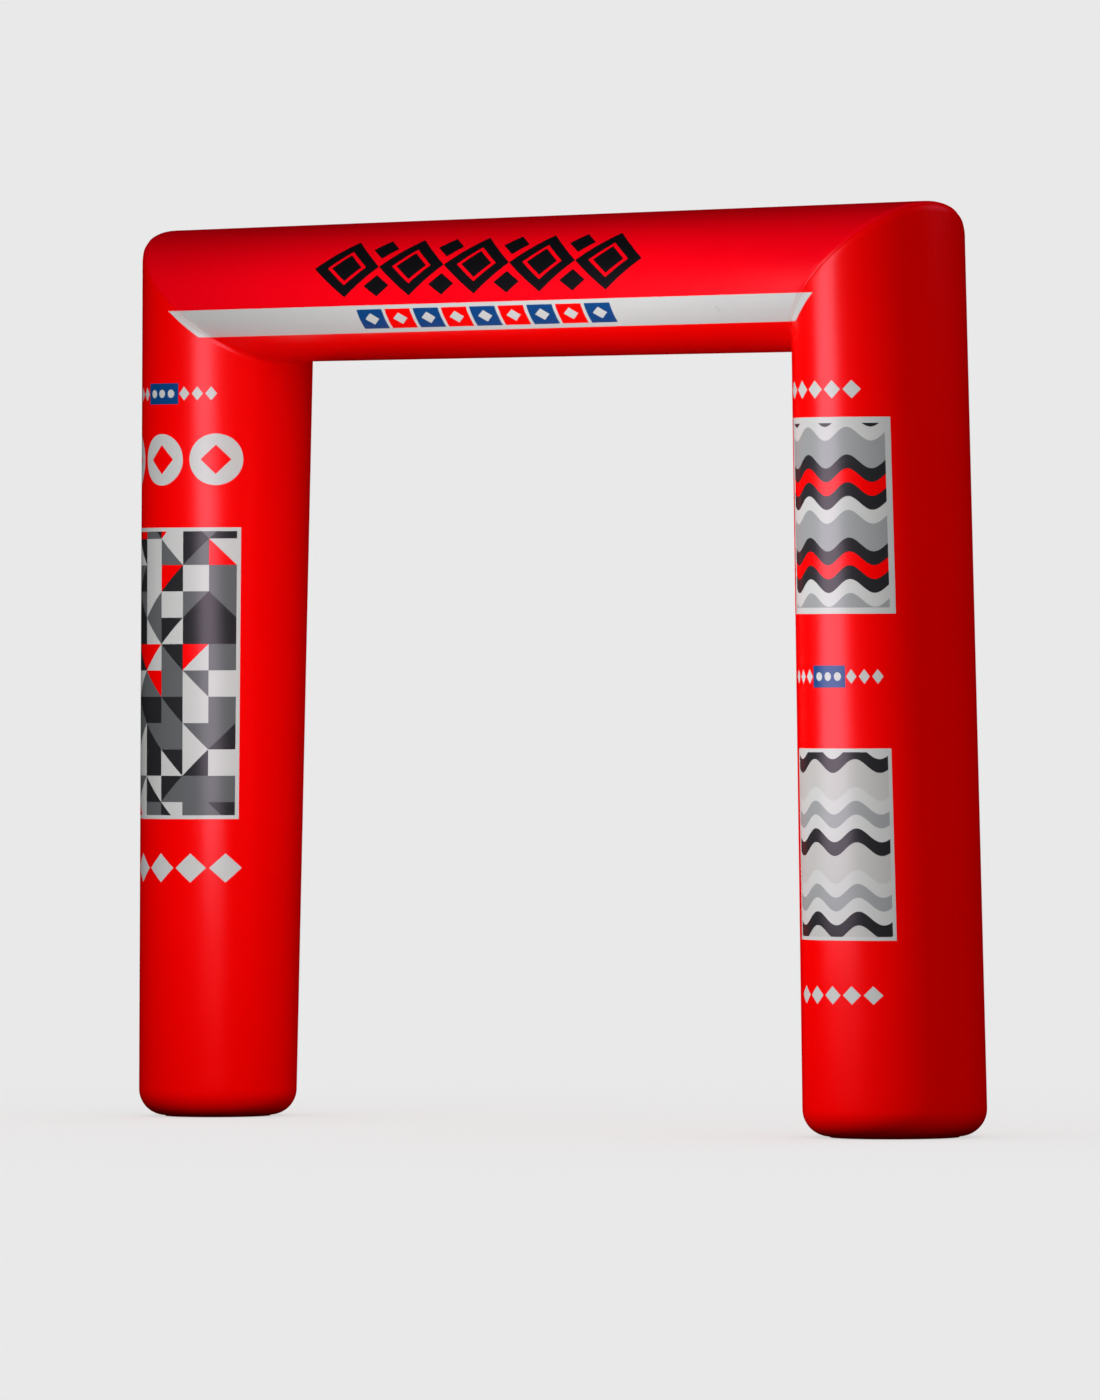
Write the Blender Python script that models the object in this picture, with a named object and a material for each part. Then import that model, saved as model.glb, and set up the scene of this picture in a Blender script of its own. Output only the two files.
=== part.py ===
"""Inflatable arch: two air-filled legs and a crossbar, sewn together at soft mitred corners.

Metres, +Z up, front towards -Y, crossbar along X. The origin is on the ground, in the middle of the arch.
The tubes are stiff with air, so each is a straight loft between two sections, and each section is a circle
that is moved, stretched and tilted. On every section, angle 0 is the side that faces the gateway, 90 degrees
is the front, 180 degrees is the outer side and 270 degrees is the back.
"""

import math
from collections import namedtuple

import bmesh
import bpy
from mathutils import Matrix, Vector

# One row for each leg. side is -1 for the leg at -X and +1 for the leg at +X.
# The legs lean in a little, and the leg at +X is the fuller one, as the sewn tubes came out.
#   foot_x       middle of the foot          foot_r       radius just above the rounded foot
#   corner_x     middle of the mitre seam    corner_r     half its width along X
#   corner_rise  half its height: the crossbar's half thickness there
Leg = namedtuple("Leg", "name side foot_x foot_r corner_x corner_r corner_rise")
LEGS = (
    Leg("left", -1, -1.619, 0.271, -1.556, 0.272, 0.231),
    Leg("right", 1, 1.588, 0.302, 1.525, 0.259, 0.241),
)

BAR_HEIGHT = 2.814  # the crossbar's middle line above the ground
BAR_DEPTH = 0.310  # half the crossbar's depth, front to back
FOOT_ROUNDING = 0.090  # radius where a leg turns under to its base panel

# The sewn corners are softened: the rounding starts this far from the seam, along leg and crossbar alike.
ROUND_OUTER = 0.037  # at the outer corner
ROUND_INNER = 0.020  # at the gateway's corner

BASE_THICKNESS = 0.003  # the heavy round panel sewn under each leg
SEAM_GAP = 0.0003  # clearance between pieces that are sewn together

SIDES = 64  # points round a tube
FOOT_STEPS = 6
LEG_STEPS = 4
BAR_STEPS = 6
CORNER_STEPS = 4  # sections from a tube's straight run to the middle of the corner

# The white band runs along the crossbar's lower front, between these two of the points round the tube.
BAND_FIRST = 9  # 51 degrees round from the underside
BAND_LAST = 14  # 79 degrees

RED = (0.83, 0.004, 0.006, 1.0)
DARK_RED = (0.42, 0.004, 0.006, 1.0)
WHITE = (0.72, 0.72, 0.72, 1.0)

# A section is centre + across * cos(angle) + front * sin(angle).
Section = namedtuple("Section", "centre across front")

DOWN = Vector((0, 0, -1))


def clear_scene():
    for old in list(bpy.data.objects):
        bpy.data.objects.remove(old, do_unlink=True)


def new_collection(name):
    collection = bpy.data.collections.new(name)
    bpy.context.scene.collection.children.link(collection)
    return collection


def coated_fabric(name, colour, roughness):
    material = bpy.data.materials.new(name)
    material.use_nodes = True
    material.diffuse_color = colour
    shader = material.node_tree.nodes["Principled BSDF"]
    shader.inputs["Base Color"].default_value = colour
    shader.inputs["Roughness"].default_value = roughness
    shader.inputs["Metallic"].default_value = 0.0
    return material


def blend(first, last, share):
    """The section that lies the given share of the way from one section to another."""
    return Section(*(a.lerp(b, share) for a, b in zip(first, last)))


def moved(section, offset):
    return section._replace(centre=section.centre + offset)


def flat_round(leg, radius, height):
    """A level circle of a leg's foot."""
    return Section(
        Vector((leg.foot_x, 0, height)),
        Vector((-leg.side * radius, 0, 0)),
        Vector((0, -radius, 0)),
    )


def foot_sections(leg):
    """The quarter turn from the flat underside up to the leg's straight wall."""
    underside = BASE_THICKNESS + SEAM_GAP
    sections = []
    for step in range(FOOT_STEPS + 1):
        turn = math.radians(90) * step / FOOT_STEPS
        radius = leg.foot_r - FOOT_ROUNDING * (1 - math.sin(turn))
        height = underside + FOOT_ROUNDING * (1 - math.cos(turn))
        sections.append(flat_round(leg, radius, height))
    return sections


def corner_section(leg, share):
    """A section of the softened corner: share is 0 where the leg ends and 1 where the crossbar starts."""
    seam = Section(
        Vector((leg.corner_x, 0, BAR_HEIGHT)),
        Vector((-leg.side * leg.corner_r, 0, -leg.corner_rise)),
        Vector((0, -BAR_DEPTH, 0)),
    )
    along_bar = Vector((-leg.side, 0, 0))
    setback = DOWN * (1 - share) ** 2 + along_bar * share**2
    middle_reach = (ROUND_OUTER + ROUND_INNER) / 2
    reach_change = (ROUND_OUTER - ROUND_INNER) / 2
    return Section(
        seam.centre + setback * middle_reach,
        seam.across - setback * reach_change,
        seam.front,
    )


def corner_sections(leg, start, end):
    return [
        corner_section(leg, start + (end - start) * step / CORNER_STEPS)
        for step in range(CORNER_STEPS + 1)
    ]


def straight_run(first, last, steps):
    """The sections between two others, without the two ends."""
    return [blend(first, last, step / steps) for step in range(1, steps)]


def seam_clearance(section, towards):
    """Half the clearance at a mitre seam, square to the seam and on the side of the point given."""
    normal = section.across.cross(section.front).normalized()
    if normal.dot(towards - section.centre) < 0:
        normal.negate()
    return normal * SEAM_GAP / 2


def leg_sections(leg):
    foot = foot_sections(leg)
    corner = corner_sections(leg, 0.0, 0.5)
    run = straight_run(foot[-1], corner[0], LEG_STEPS)
    clearance = seam_clearance(corner[-1], foot[0].centre)
    corner[-1] = moved(corner[-1], clearance)
    return foot + run + corner


def crossbar_sections():
    left, right = LEGS
    start = corner_sections(left, 0.5, 1.0)
    end = corner_sections(right, 1.0, 0.5)
    run = straight_run(start[-1], end[0], BAR_STEPS)
    start[0] = moved(start[0], seam_clearance(start[0], end[0].centre))
    end[-1] = moved(end[-1], seam_clearance(end[-1], start[-1].centre))
    return start + run + end


def ring(bm, section):
    """A circle of points round a tube, from angle 0, in order."""
    unit_circle_to_section = Matrix.Translation(section.centre)
    unit_circle_to_section.col[0].xyz = -section.front
    unit_circle_to_section.col[1].xyz = section.across
    made = bmesh.ops.create_circle(bm, segments=SIDES, radius=1, matrix=unit_circle_to_section)
    return made["verts"]


def tube(name, sections, collection, materials, banded=False):
    """A closed loft through the sections. The second material, if any, is the band's."""
    bm = bmesh.new()
    rings = [ring(bm, section) for section in sections]
    for lower, upper in zip(rings, rings[1:]):
        for i in range(SIDES):
            after = (i + 1) % SIDES
            wall = bm.faces.new((lower[i], lower[after], upper[after], upper[i]))
            wall.smooth = True
            wall.material_index = int(banded and BAND_FIRST <= i < BAND_LAST)
    bm.faces.new(rings[0])
    bm.faces.new(rings[-1])
    bmesh.ops.recalc_face_normals(bm, faces=bm.faces)
    mesh = bpy.data.meshes.new(name)
    bm.to_mesh(mesh)
    bm.free()
    for material in materials:
        mesh.materials.append(material)
    made = bpy.data.objects.new(name, mesh)
    collection.objects.link(made)
    return made


def base_panel(leg, collection, material):
    """The flat round panel that the leg stands on."""
    bpy.ops.mesh.primitive_cylinder_add(
        vertices=SIDES,
        radius=leg.foot_r - FOOT_ROUNDING,
        depth=BASE_THICKNESS,
        location=(leg.foot_x, 0, BASE_THICKNESS / 2),
    )
    panel = bpy.context.object
    panel.name = f"{leg.name}_base"
    panel.data.name = panel.name
    panel.data.materials.append(material)
    for old in list(panel.users_collection):
        old.objects.unlink(panel)
    collection.objects.link(panel)
    return panel


def build():
    clear_scene()
    arch = new_collection("inflatable_arch")
    red = coated_fabric("red_coated_fabric", RED, 0.42)
    white = coated_fabric("white_band", WHITE, 0.5)
    base = coated_fabric("base_fabric", DARK_RED, 0.6)
    for leg in LEGS:
        tube(f"{leg.name}_leg", leg_sections(leg), arch, [red])
        base_panel(leg, arch, base)
    tube("crossbar", crossbar_sections(), arch, [red, white], banded=True)


build()
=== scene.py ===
"""Dresses the inflatable arch: coated fabric over its air-filled tubes, sewn corners, print, and a studio.

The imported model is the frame: metres, +Z up, front towards -Y, crossbar along X. Each tube of fabric is a
loft through sections, and each section is a circle that is moved, stretched and tilted. On every section,
angle 0 is the side that faces the gateway, 90 degrees is the front, 180 degrees is the outer side and 270
degrees is the back.
"""

import math
from collections import namedtuple

import bpy
import numpy as np
from bpy.props import (
    FloatProperty,
    FloatVectorProperty,
    IntProperty,
    PointerProperty,
)
from mathutils import Matrix, Vector


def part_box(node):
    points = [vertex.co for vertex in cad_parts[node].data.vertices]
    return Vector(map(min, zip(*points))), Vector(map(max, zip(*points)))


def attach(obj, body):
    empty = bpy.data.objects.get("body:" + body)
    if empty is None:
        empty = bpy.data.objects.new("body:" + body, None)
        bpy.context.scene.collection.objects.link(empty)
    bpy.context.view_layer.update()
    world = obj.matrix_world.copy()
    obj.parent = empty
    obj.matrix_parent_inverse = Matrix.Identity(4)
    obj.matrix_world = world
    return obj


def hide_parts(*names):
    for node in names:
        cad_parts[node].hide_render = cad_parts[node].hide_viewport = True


bl_info = {
    "name": "Inflatable Arch Dressing",
    "version": (1, 0, 0),
    "blender": (4, 5, 0),
    "location": "View3D > Sidebar > Arch",
    "description": "Dresses a sewn, air-filled event arch in coated fabric, stitching and print",
    "category": "Object",
}

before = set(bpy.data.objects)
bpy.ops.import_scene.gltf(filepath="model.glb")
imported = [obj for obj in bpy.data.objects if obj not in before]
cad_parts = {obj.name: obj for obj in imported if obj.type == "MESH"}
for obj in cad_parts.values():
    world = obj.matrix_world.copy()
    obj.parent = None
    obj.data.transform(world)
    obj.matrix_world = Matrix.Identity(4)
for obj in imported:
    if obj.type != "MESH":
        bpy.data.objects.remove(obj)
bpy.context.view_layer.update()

CLOTH_MAP = "cloth"  # the UV map that gives places on a tube of fabric, in metres
QUARTER = math.pi / 2

# What the frame says about each leg, at -X and at +X.
LEFT, RIGHT = -1, 1
NAMES = {LEFT: "left", RIGHT: "right"}
LEG_BOX = {LEFT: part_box("left_leg"), RIGHT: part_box("right_leg")}
BASE_BOX = {LEFT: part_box("left_base"), RIGHT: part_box("right_base")}
BAR_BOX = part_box("crossbar")


def foot_middle(side):
    low, high = BASE_BOX[side]
    return (low[0] + high[0]) / 2


def base_radius(side):
    low, high = BASE_BOX[side]
    return (high[0] - low[0]) / 2


def foot_radius(side):
    low, high = LEG_BOX[side]
    outer = low[0] if side == LEFT else high[0]
    return abs(outer - foot_middle(side))


def of_side(pair, side):
    """The left leg's or the right leg's value of a pair."""
    return pair[0] if side == LEFT else pair[1]


# ---------------------------------------------------------------- settings


class ArchShape(bpy.types.PropertyGroup):
    """Sizes of the tubes. Those given as a pair are the left leg's and the right leg's."""

    foot_x: FloatVectorProperty(
        name="Foot place",
        description="X of the middle of each foot",
        default=(foot_middle(LEFT), foot_middle(RIGHT)),
        size=2,
        unit="LENGTH",
    )
    foot_r: FloatVectorProperty(
        name="Foot radius",
        description="Radius of each leg just above its rounded foot",
        default=(foot_radius(LEFT), foot_radius(RIGHT)),
        size=2,
        unit="LENGTH",
    )
    corner_x: FloatVectorProperty(
        name="Corner place",
        description="X of the middle of each mitre seam",
        default=(-1.556, 1.525),
        size=2,
        unit="LENGTH",
    )
    corner_r: FloatVectorProperty(
        name="Corner half width",
        description="Half the width of each mitre seam along X",
        default=(0.272, 0.259),
        size=2,
        unit="LENGTH",
    )
    corner_rise: FloatVectorProperty(
        name="Corner half height",
        description="Half the height of each mitre seam",
        default=(0.231, 0.241),
        size=2,
        unit="LENGTH",
    )
    bar_height: FloatProperty(
        name="Crossbar height",
        description="Height of the crossbar's middle line",
        default=2.814,
        unit="LENGTH",
    )
    bar_depth: FloatProperty(
        name="Crossbar half depth",
        description="Half the depth of the crossbar, front to back",
        default=BAR_BOX[1][1],
        unit="LENGTH",
    )
    foot_rounding: FloatProperty(
        name="Foot rounding",
        description="Radius with which a leg turns under",
        default=foot_radius(LEFT) - base_radius(LEFT),
        unit="LENGTH",
    )
    round_outer: FloatProperty(
        name="Outer corner rounding",
        description="Reach of the soft corner from the seam, on the outer side",
        default=0.037,
        unit="LENGTH",
    )
    round_inner: FloatProperty(
        name="Gateway corner rounding",
        description="Reach of the soft corner from the seam, on the gateway's side",
        default=0.020,
        unit="LENGTH",
    )
    around: IntProperty(
        name="Points round a tube",
        description="How many points each section of a tube has",
        default=288,
        min=32,
    )


class ArchSewing(bpy.types.PropertyGroup):
    """Seams and thread."""

    seam_sink: FloatProperty(
        name="Seam sink",
        description="How deep the fabric is drawn in at a mitre seam",
        default=0.0004,
        unit="LENGTH",
    )
    seam_width: FloatProperty(
        name="Seam width",
        description="Half the width of the drawn-in line at a mitre seam",
        default=0.0025,
        unit="LENGTH",
    )
    pucker: FloatProperty(
        name="Pucker",
        description="Height of the small gathers beside a sewn seam",
        default=0.00022,
        unit="LENGTH",
    )
    pucker_reach: FloatProperty(
        name="Pucker reach",
        description="How far the gathers run out from their seam",
        default=0.045,
        unit="LENGTH",
    )
    stitch_pitch: FloatProperty(
        name="Stitch pitch",
        description="From one stitch to the next",
        default=0.006,
        unit="LENGTH",
    )
    thread: FloatProperty(
        name="Thread",
        description="Thickness of the sewing thread",
        default=0.0010,
        unit="LENGTH",
    )
    row_gap: FloatProperty(
        name="Row gap",
        description="From a seam to the row of stitches beside it",
        default=0.007,
        unit="LENGTH",
    )


class ArchFabric(bpy.types.PropertyGroup):
    """Colours and surface of the fabric and of the print on it."""

    red: FloatVectorProperty(
        name="Red",
        description="Coated fabric of the tubes",
        default=(0.83, 0.0, 0.0, 1.0),
        subtype="COLOR",
        size=4,
    )
    # The faint blue of this red is painted sheen: it stands in for the reflection on the crossbar's top, and
    # covers the crossbar above the middle of its band.
    bar_red_painted_sheen: FloatVectorProperty(
        name="Crossbar red",
        description="Coated fabric of the crossbar above its band",
        default=(0.83, 0.0, 0.006, 1.0),
        subtype="COLOR",
        size=4,
    )
    white: FloatVectorProperty(
        name="White",
        description="Band and light print",
        default=(0.50, 0.50, 0.495, 1.0),
        subtype="COLOR",
        size=4,
    )
    black: FloatVectorProperty(
        name="Black",
        description="Dark print",
        default=(0.004, 0.004, 0.005, 1.0),
        subtype="COLOR",
        size=4,
    )
    navy: FloatVectorProperty(
        name="Navy",
        description="Blue print",
        default=(0.003, 0.048, 0.18, 1.0),
        subtype="COLOR",
        size=4,
    )
    pale_grey: FloatVectorProperty(
        name="Pale grey",
        description="Palest grey of the patterns",
        default=(0.27, 0.28, 0.285, 1.0),
        subtype="COLOR",
        size=4,
    )
    mid_grey: FloatVectorProperty(
        name="Mid grey",
        description="Middle grey of the patterns",
        default=(0.10, 0.105, 0.11, 1.0),
        subtype="COLOR",
        size=4,
    )
    dark_grey: FloatVectorProperty(
        name="Dark grey",
        description="Darkest grey of the patterns",
        default=(0.018, 0.018, 0.020, 1.0),
        subtype="COLOR",
        size=4,
    )
    off_white: FloatVectorProperty(
        name="Off-white",
        description="Tone of the patterns that is next to white",
        default=(0.44, 0.43, 0.42, 1.0),
        subtype="COLOR",
        size=4,
    )
    band: FloatVectorProperty(
        name="Band",
        description="Heights of the white band's lower and upper edge",
        default=(2.666, 2.757),
        size=2,
        unit="LENGTH",
    )
    band_wrap: FloatVectorProperty(
        name="Band wrap",
        description="How far the band runs past the left and the right mitre seam",
        default=(0.0385, 0.061),
        size=2,
        unit="LENGTH",
    )
    roughness: FloatProperty(
        name="Roughness",
        description="Roughness of the coated fabric",
        default=0.29,
        subtype="FACTOR",
        min=0,
        max=1,
    )
    gloss: FloatProperty(
        name="Gloss",
        description="Specular level of the fabric's coating",
        default=1.0,
        subtype="FACTOR",
        min=0,
        max=1,
    )
    thread_pitch: FloatProperty(
        name="Thread pitch",
        description="From one thread of the weave to the next",
        default=0.0014,
        unit="LENGTH",
    )


class ArchStudio(bpy.types.PropertyGroup):
    """Camera, floor and lights."""

    camera_turn: FloatProperty(
        name="Camera turn",
        description="How far round from the front the camera stands, towards +X",
        default=math.radians(45),
        subtype="ANGLE",
    )
    camera_lift: FloatProperty(
        name="Camera lift",
        description="Angle of the camera above its target",
        default=0.0035,
        subtype="ANGLE",
    )
    camera_roll: FloatProperty(
        name="Camera roll",
        description="Tilt of the camera about its line of sight",
        default=-0.0032,
        subtype="ANGLE",
    )
    camera_reach: FloatProperty(
        name="Camera distance",
        description="From the camera to its target",
        default=44.97,
        unit="LENGTH",
    )
    target: FloatVectorProperty(
        name="Target",
        description="The point that the camera looks at",
        default=(0.001, 0.0, 1.428),
        subtype="TRANSLATION",
    )
    lens: FloatProperty(
        name="Lens",
        description="Focal length on a 36 mm frame",
        default=345.1,
        unit="CAMERA",
    )
    backdrop: FloatProperty(
        name="Backdrop",
        description="Brightness of the floor and of what lies behind it",
        default=0.815,
        min=0,
    )
    light: FloatProperty(
        name="Light",
        description="Strength of all the softboxes",
        default=1.08,
        min=0,
    )
    ceiling: FloatProperty(
        name="Ceiling",
        description="Brightness of the wide ceiling that lights everything evenly from above",
        default=0.49,
        min=0,
    )
    ground: FloatProperty(
        name="Ground",
        description="Brightness of the pale ground, as it lights the arch from below",
        default=0.055,
        min=0,
    )


GROUPS = (
    ("arch_shape", ArchShape),
    ("arch_sewing", ArchSewing),
    ("arch_fabric", ArchFabric),
    ("arch_studio", ArchStudio),
)


# ---------------------------------------------------------------- tubes of fabric

# A section is centre + across * cos(angle) + front * sin(angle).
Section = namedtuple("Section", "centre across front")

FOOT_STEPS = 14
LEG_STEPS = 56
BAR_STEPS = 60
SEAM_STEPS = 14  # extra sections in the last stretch before a corner
SEAM_STRETCH = 0.10  # length of that stretch
CORNER_STEPS = 12
EDGE_STEPS = 8  # round the edge of a base panel
SEWN_GAP = 0.00015  # half the clearance at a mitre seam
FACE_ORDER = ((0, 0), (0, 1), (1, 1), (1, 0))  # a face's corners, as steps along and round a tube


def level_section(side, x, height, radius):
    """A level, round section of a leg or of its base panel."""
    return Section(
        Vector((x, 0, height)),
        Vector((-side * radius, 0, 0)),
        Vector((0, -radius, 0)),
    )


def blend(first, last, share):
    """The section that lies the given share of the way from one section to another."""
    return Section(*(a.lerp(b, share) for a, b in zip(first, last)))


def corner_section(shape, side, share):
    """A section of the softened corner: share is 0 where the leg ends and 1 where the crossbar starts."""
    centre = Vector((of_side(shape.corner_x, side), 0, shape.bar_height))
    across = Vector((-side * of_side(shape.corner_r, side), 0, -of_side(shape.corner_rise, side)))
    setback = Vector((-side * share**2, 0, -((1 - share) ** 2)))
    middle_reach = (shape.round_outer + shape.round_inner) / 2
    reach_change = (shape.round_outer - shape.round_inner) / 2
    return Section(
        centre + setback * middle_reach,
        across - setback * reach_change,
        Vector((0, -shape.bar_depth, 0)),
    )


def corner_run(shape, side, start, end):
    shares = [start + (end - start) * step / CORNER_STEPS for step in range(CORNER_STEPS + 1)]
    return [corner_section(shape, side, share) for share in shares]


def opened(section, towards):
    """The section, moved off the middle of its seam by half the clearance."""
    normal = section.across.cross(section.front).normalized()
    if normal.dot(towards - section.centre) < 0:
        normal.negate()
    return section._replace(centre=section.centre + normal * SEWN_GAP)


def foot_run(shape, side):
    """The quarter turn from the flat underside up to the leg's straight wall."""
    underside = LEG_BOX[side][0][2]
    sections = []
    for step in range(FOOT_STEPS + 1):
        turn = QUARTER * step / FOOT_STEPS
        radius = of_side(shape.foot_r, side) - shape.foot_rounding * (1 - math.sin(turn))
        height = underside + shape.foot_rounding * (1 - math.cos(turn))
        sections.append(level_section(side, of_side(shape.foot_x, side), height, radius))
    return sections


def straight_run(first, last, steps, close_start, close_end):
    """The sections between two others, set closer together at an end that meets a seam."""
    length = (last.centre - first.centre).length
    near = SEAM_STRETCH / length
    marks = [near * step / SEAM_STEPS for step in range(1, SEAM_STEPS)] if close_start else []
    start = near if close_start else 0
    end = 1 - near if close_end else 1
    marks += [start + (end - start) * step / steps for step in range(0 if close_start else 1, steps)]
    if close_end:
        marks += [end + near * step / SEAM_STEPS for step in range(SEAM_STEPS)]
    return [blend(first, last, mark) for mark in marks]


def leg_sections(shape, side):
    foot = foot_run(shape, side)
    corner = corner_run(shape, side, 0.0, 0.5)
    run = straight_run(foot[-1], corner[0], LEG_STEPS, False, True)
    corner[-1] = opened(corner[-1], foot[0].centre)
    return foot + run + corner


def crossbar_sections(shape):
    start = corner_run(shape, LEFT, 0.5, 1.0)
    end = corner_run(shape, RIGHT, 1.0, 0.5)
    run = straight_run(start[-1], end[0], BAR_STEPS, True, True)
    start[0] = opened(start[0], end[0].centre)
    end[-1] = opened(end[-1], start[-1].centre)
    return start + run + end


def base_sections(side):
    """The half turn round the edge of a base panel, from its underside to its top."""
    low, high = BASE_BOX[side]
    half = (high[2] - low[2]) / 2
    sections = []
    for step in range(EDGE_STEPS + 1):
        turn = -QUARTER + 2 * QUARTER * step / EDGE_STEPS
        radius = base_radius(side) - half * (1 - math.cos(turn))
        sections.append(level_section(side, foot_middle(side), half + half * math.sin(turn), radius))
    return sections


class Tube:
    """A grid of points on a tube: one row for each section, one column for each angle."""

    def __init__(self, sections, around):
        self.angles = np.arange(around) * 2 * math.pi / around
        cos, sin = np.cos(self.angles)[:, None], np.sin(self.angles)[:, None]
        rows = [np.array(s.centre) + np.array(s.across) * cos + np.array(s.front) * sin for s in sections]
        self.points = np.array(rows)
        self.update()

    def update(self):
        """Works out the outward normals, and the distances along the tube from each of its ends."""
        along = np.gradient(self.points, axis=0)
        around = np.roll(self.points, -1, axis=1) - np.roll(self.points, 1, axis=1)
        normals = np.cross(around, along)
        normals /= np.linalg.norm(normals, axis=2, keepdims=True)
        middle = self.points.mean(axis=1, keepdims=True)
        if np.sum(normals * (self.points - middle)) < 0:
            normals = -normals
        self.normals = normals
        steps = np.linalg.norm(np.diff(self.points, axis=0), axis=2)
        self.from_start = np.vstack([np.zeros(len(self.angles)), np.cumsum(steps, axis=0)])
        self.from_end = self.from_start[-1] - self.from_start

    def faces_out(self):
        """Whether a face that runs round the tube and then along it looks outwards."""
        origin = self.points[0, 0]
        looks = np.cross(self.points[0, 1] - origin, self.points[1, 0] - origin)
        return looks.dot(self.normals[0, 0]) > 0

    def raise_by(self, height):
        self.points = self.points + self.normals * height[:, :, None]
        self.update()


# The gathers beside a mitre seam.
GATHERS = 31  # how many run round the tube
CROWDS = 3  # places round the tube where they crowd together
CROWDING = 1.4  # how far they do, in radians of their own wave
SWELLS = 5  # places round the tube where they stand highest
SWELL_MIDDLE, SWELL_SWING = 0.6, 0.4  # how their height changes between those places
SEAM_PHASES = {LEFT: (0.7, 1.47), RIGHT: (2.9, 6.09)}  # where the gathers and their swells start, in radians


def gathers(angles, phases):
    """An uneven wave round a seam, between -1 and 1."""
    gather_phase, swell_phase = phases
    crowding = CROWDING * np.sin(CROWDS * angles + gather_phase)
    swell = SWELL_MIDDLE + SWELL_SWING * np.sin(SWELLS * angles + swell_phase)
    return swell * np.sin(GATHERS * angles + crowding + gather_phase)


def draw_in(tube, from_seam, sewing, side):
    """Sinks the fabric a little at a mitre seam and gathers it beside the seam."""
    sink = -sewing.seam_sink * np.exp(-((from_seam / sewing.seam_width) ** 2))
    fade = np.exp(-from_seam / sewing.pucker_reach) * (1 - np.exp(-from_seam / sewing.seam_width))
    tube.raise_by(sink + sewing.pucker * fade * gathers(tube.angles, SEAM_PHASES[side])[None, :])


def leg_tube(context, side):
    shape, sewing = context.scene.arch_shape, context.scene.arch_sewing
    tube = Tube(leg_sections(shape, side), shape.around)
    draw_in(tube, tube.from_end, sewing, side)
    return tube


def crossbar_tube(context):
    shape, sewing = context.scene.arch_shape, context.scene.arch_sewing
    tube = Tube(crossbar_sections(shape), shape.around)
    draw_in(tube, tube.from_start, sewing, LEFT)
    draw_in(tube, tube.from_end, sewing, RIGHT)
    return tube


def tube_mesh(name, tube, places):
    """A closed mesh over a tube's grid. places(angle, points) gives places on the cloth, in metres."""
    rows, around = tube.points.shape[:2]
    row, column = (grid.reshape(-1, 1) for grid in np.mgrid[0 : rows - 1, 0:around])
    order = FACE_ORDER if tube.faces_out() else FACE_ORDER[::-1]
    corner_row = row + np.array([step for step, _ in order])
    corner_column = column + np.array([step for _, step in order])
    walls = corner_row * around + corner_column % around
    first, last = np.arange(around), np.arange(around) + (rows - 1) * around
    ends = [last, first[::-1]] if tube.faces_out() else [last[::-1], first]

    mesh = bpy.data.meshes.new(name)
    faces = walls.tolist() + [end.tolist() for end in ends]
    mesh.from_pydata(tube.points.reshape(-1, 3).tolist(), [], faces)
    mesh.shade_smooth()
    for cap in mesh.polygons[-len(ends) :]:
        cap.use_smooth = False

    # The cloth is cut along the back, so an angle counts from the front, up to half a turn each way.
    full_turn = 2 * math.pi
    behind = column + 0.5 > around * 3 / 4
    angle = corner_column * full_turn / around - QUARTER - behind * full_turn
    place = places(angle, tube.points.reshape(-1, 3)[walls])
    layer = mesh.uv_layers.new(name=CLOTH_MAP)
    flat = np.zeros((len(mesh.loops), 2))
    flat[: walls.size] = np.stack(place, axis=-1).reshape(-1, 2)
    layer.data.foreach_set("uv", flat.ravel())
    return mesh


def leg_places(side, radius):
    """Places on a leg's cloth: across from the middle of its front, and up."""
    return lambda angle, points: (side * angle * radius, points[..., 2])


def crossbar_places(radius):
    """Places on the crossbar's cloth: along it, and round from the middle of its front."""
    return lambda angle, points: (points[..., 0], angle * radius)


def base_places(angle, points):
    """Places on a base panel's cloth, as it lies on the ground."""
    return points[..., 0], points[..., 1]


def piece(name, mesh, material, slot, *nodes):
    """An object that rides on the arch, and stands for the nodes that it names."""
    made = bpy.data.objects.new(name, mesh)
    bpy.context.scene.collection.objects.link(made)
    mesh.materials.append(material)
    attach(made, "root")
    if nodes:
        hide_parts(*nodes)
    return made


# ---------------------------------------------------------------- stitches

STITCH_SIDES = 6
STITCH_RINGS = 5
STITCH_LENGTH = 0.72  # share of the pitch that shows
STITCH_ARCH = 0.55  # how far a stitch's middle stands above its ends, in thread thicknesses
STITCH_TIP = 0.12  # how much of its round outline is cut off at each end, as a share of the outline's length


def stitch_shape():
    """Points and faces of one stitch of length 1 along X and thickness 1, bowed up along Z."""
    points, faces = [], []
    for ring in range(STITCH_RINGS):
        share = ring / (STITCH_RINGS - 1)
        outline = STITCH_TIP + (1 - 2 * STITCH_TIP) * share
        radius = 0.5 * math.sin(math.pi * outline) ** 0.5
        rise = STITCH_ARCH * math.sin(math.pi * share)
        for side in range(STITCH_SIDES):
            turn = 2 * math.pi * side / STITCH_SIDES
            points.append((share - 0.5, radius * math.cos(turn), rise + radius * math.sin(turn)))
    for ring in range(STITCH_RINGS - 1):
        for side in range(STITCH_SIDES):
            a = ring * STITCH_SIDES + side
            b = ring * STITCH_SIDES + (side + 1) % STITCH_SIDES
            faces.append((a, a + STITCH_SIDES, b + STITCH_SIDES, b))
    first = list(range(STITCH_SIDES))
    faces.append(tuple(first))
    faces.append(tuple(i + (STITCH_RINGS - 1) * STITCH_SIDES for i in reversed(first)))
    return np.array(points), faces


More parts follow.
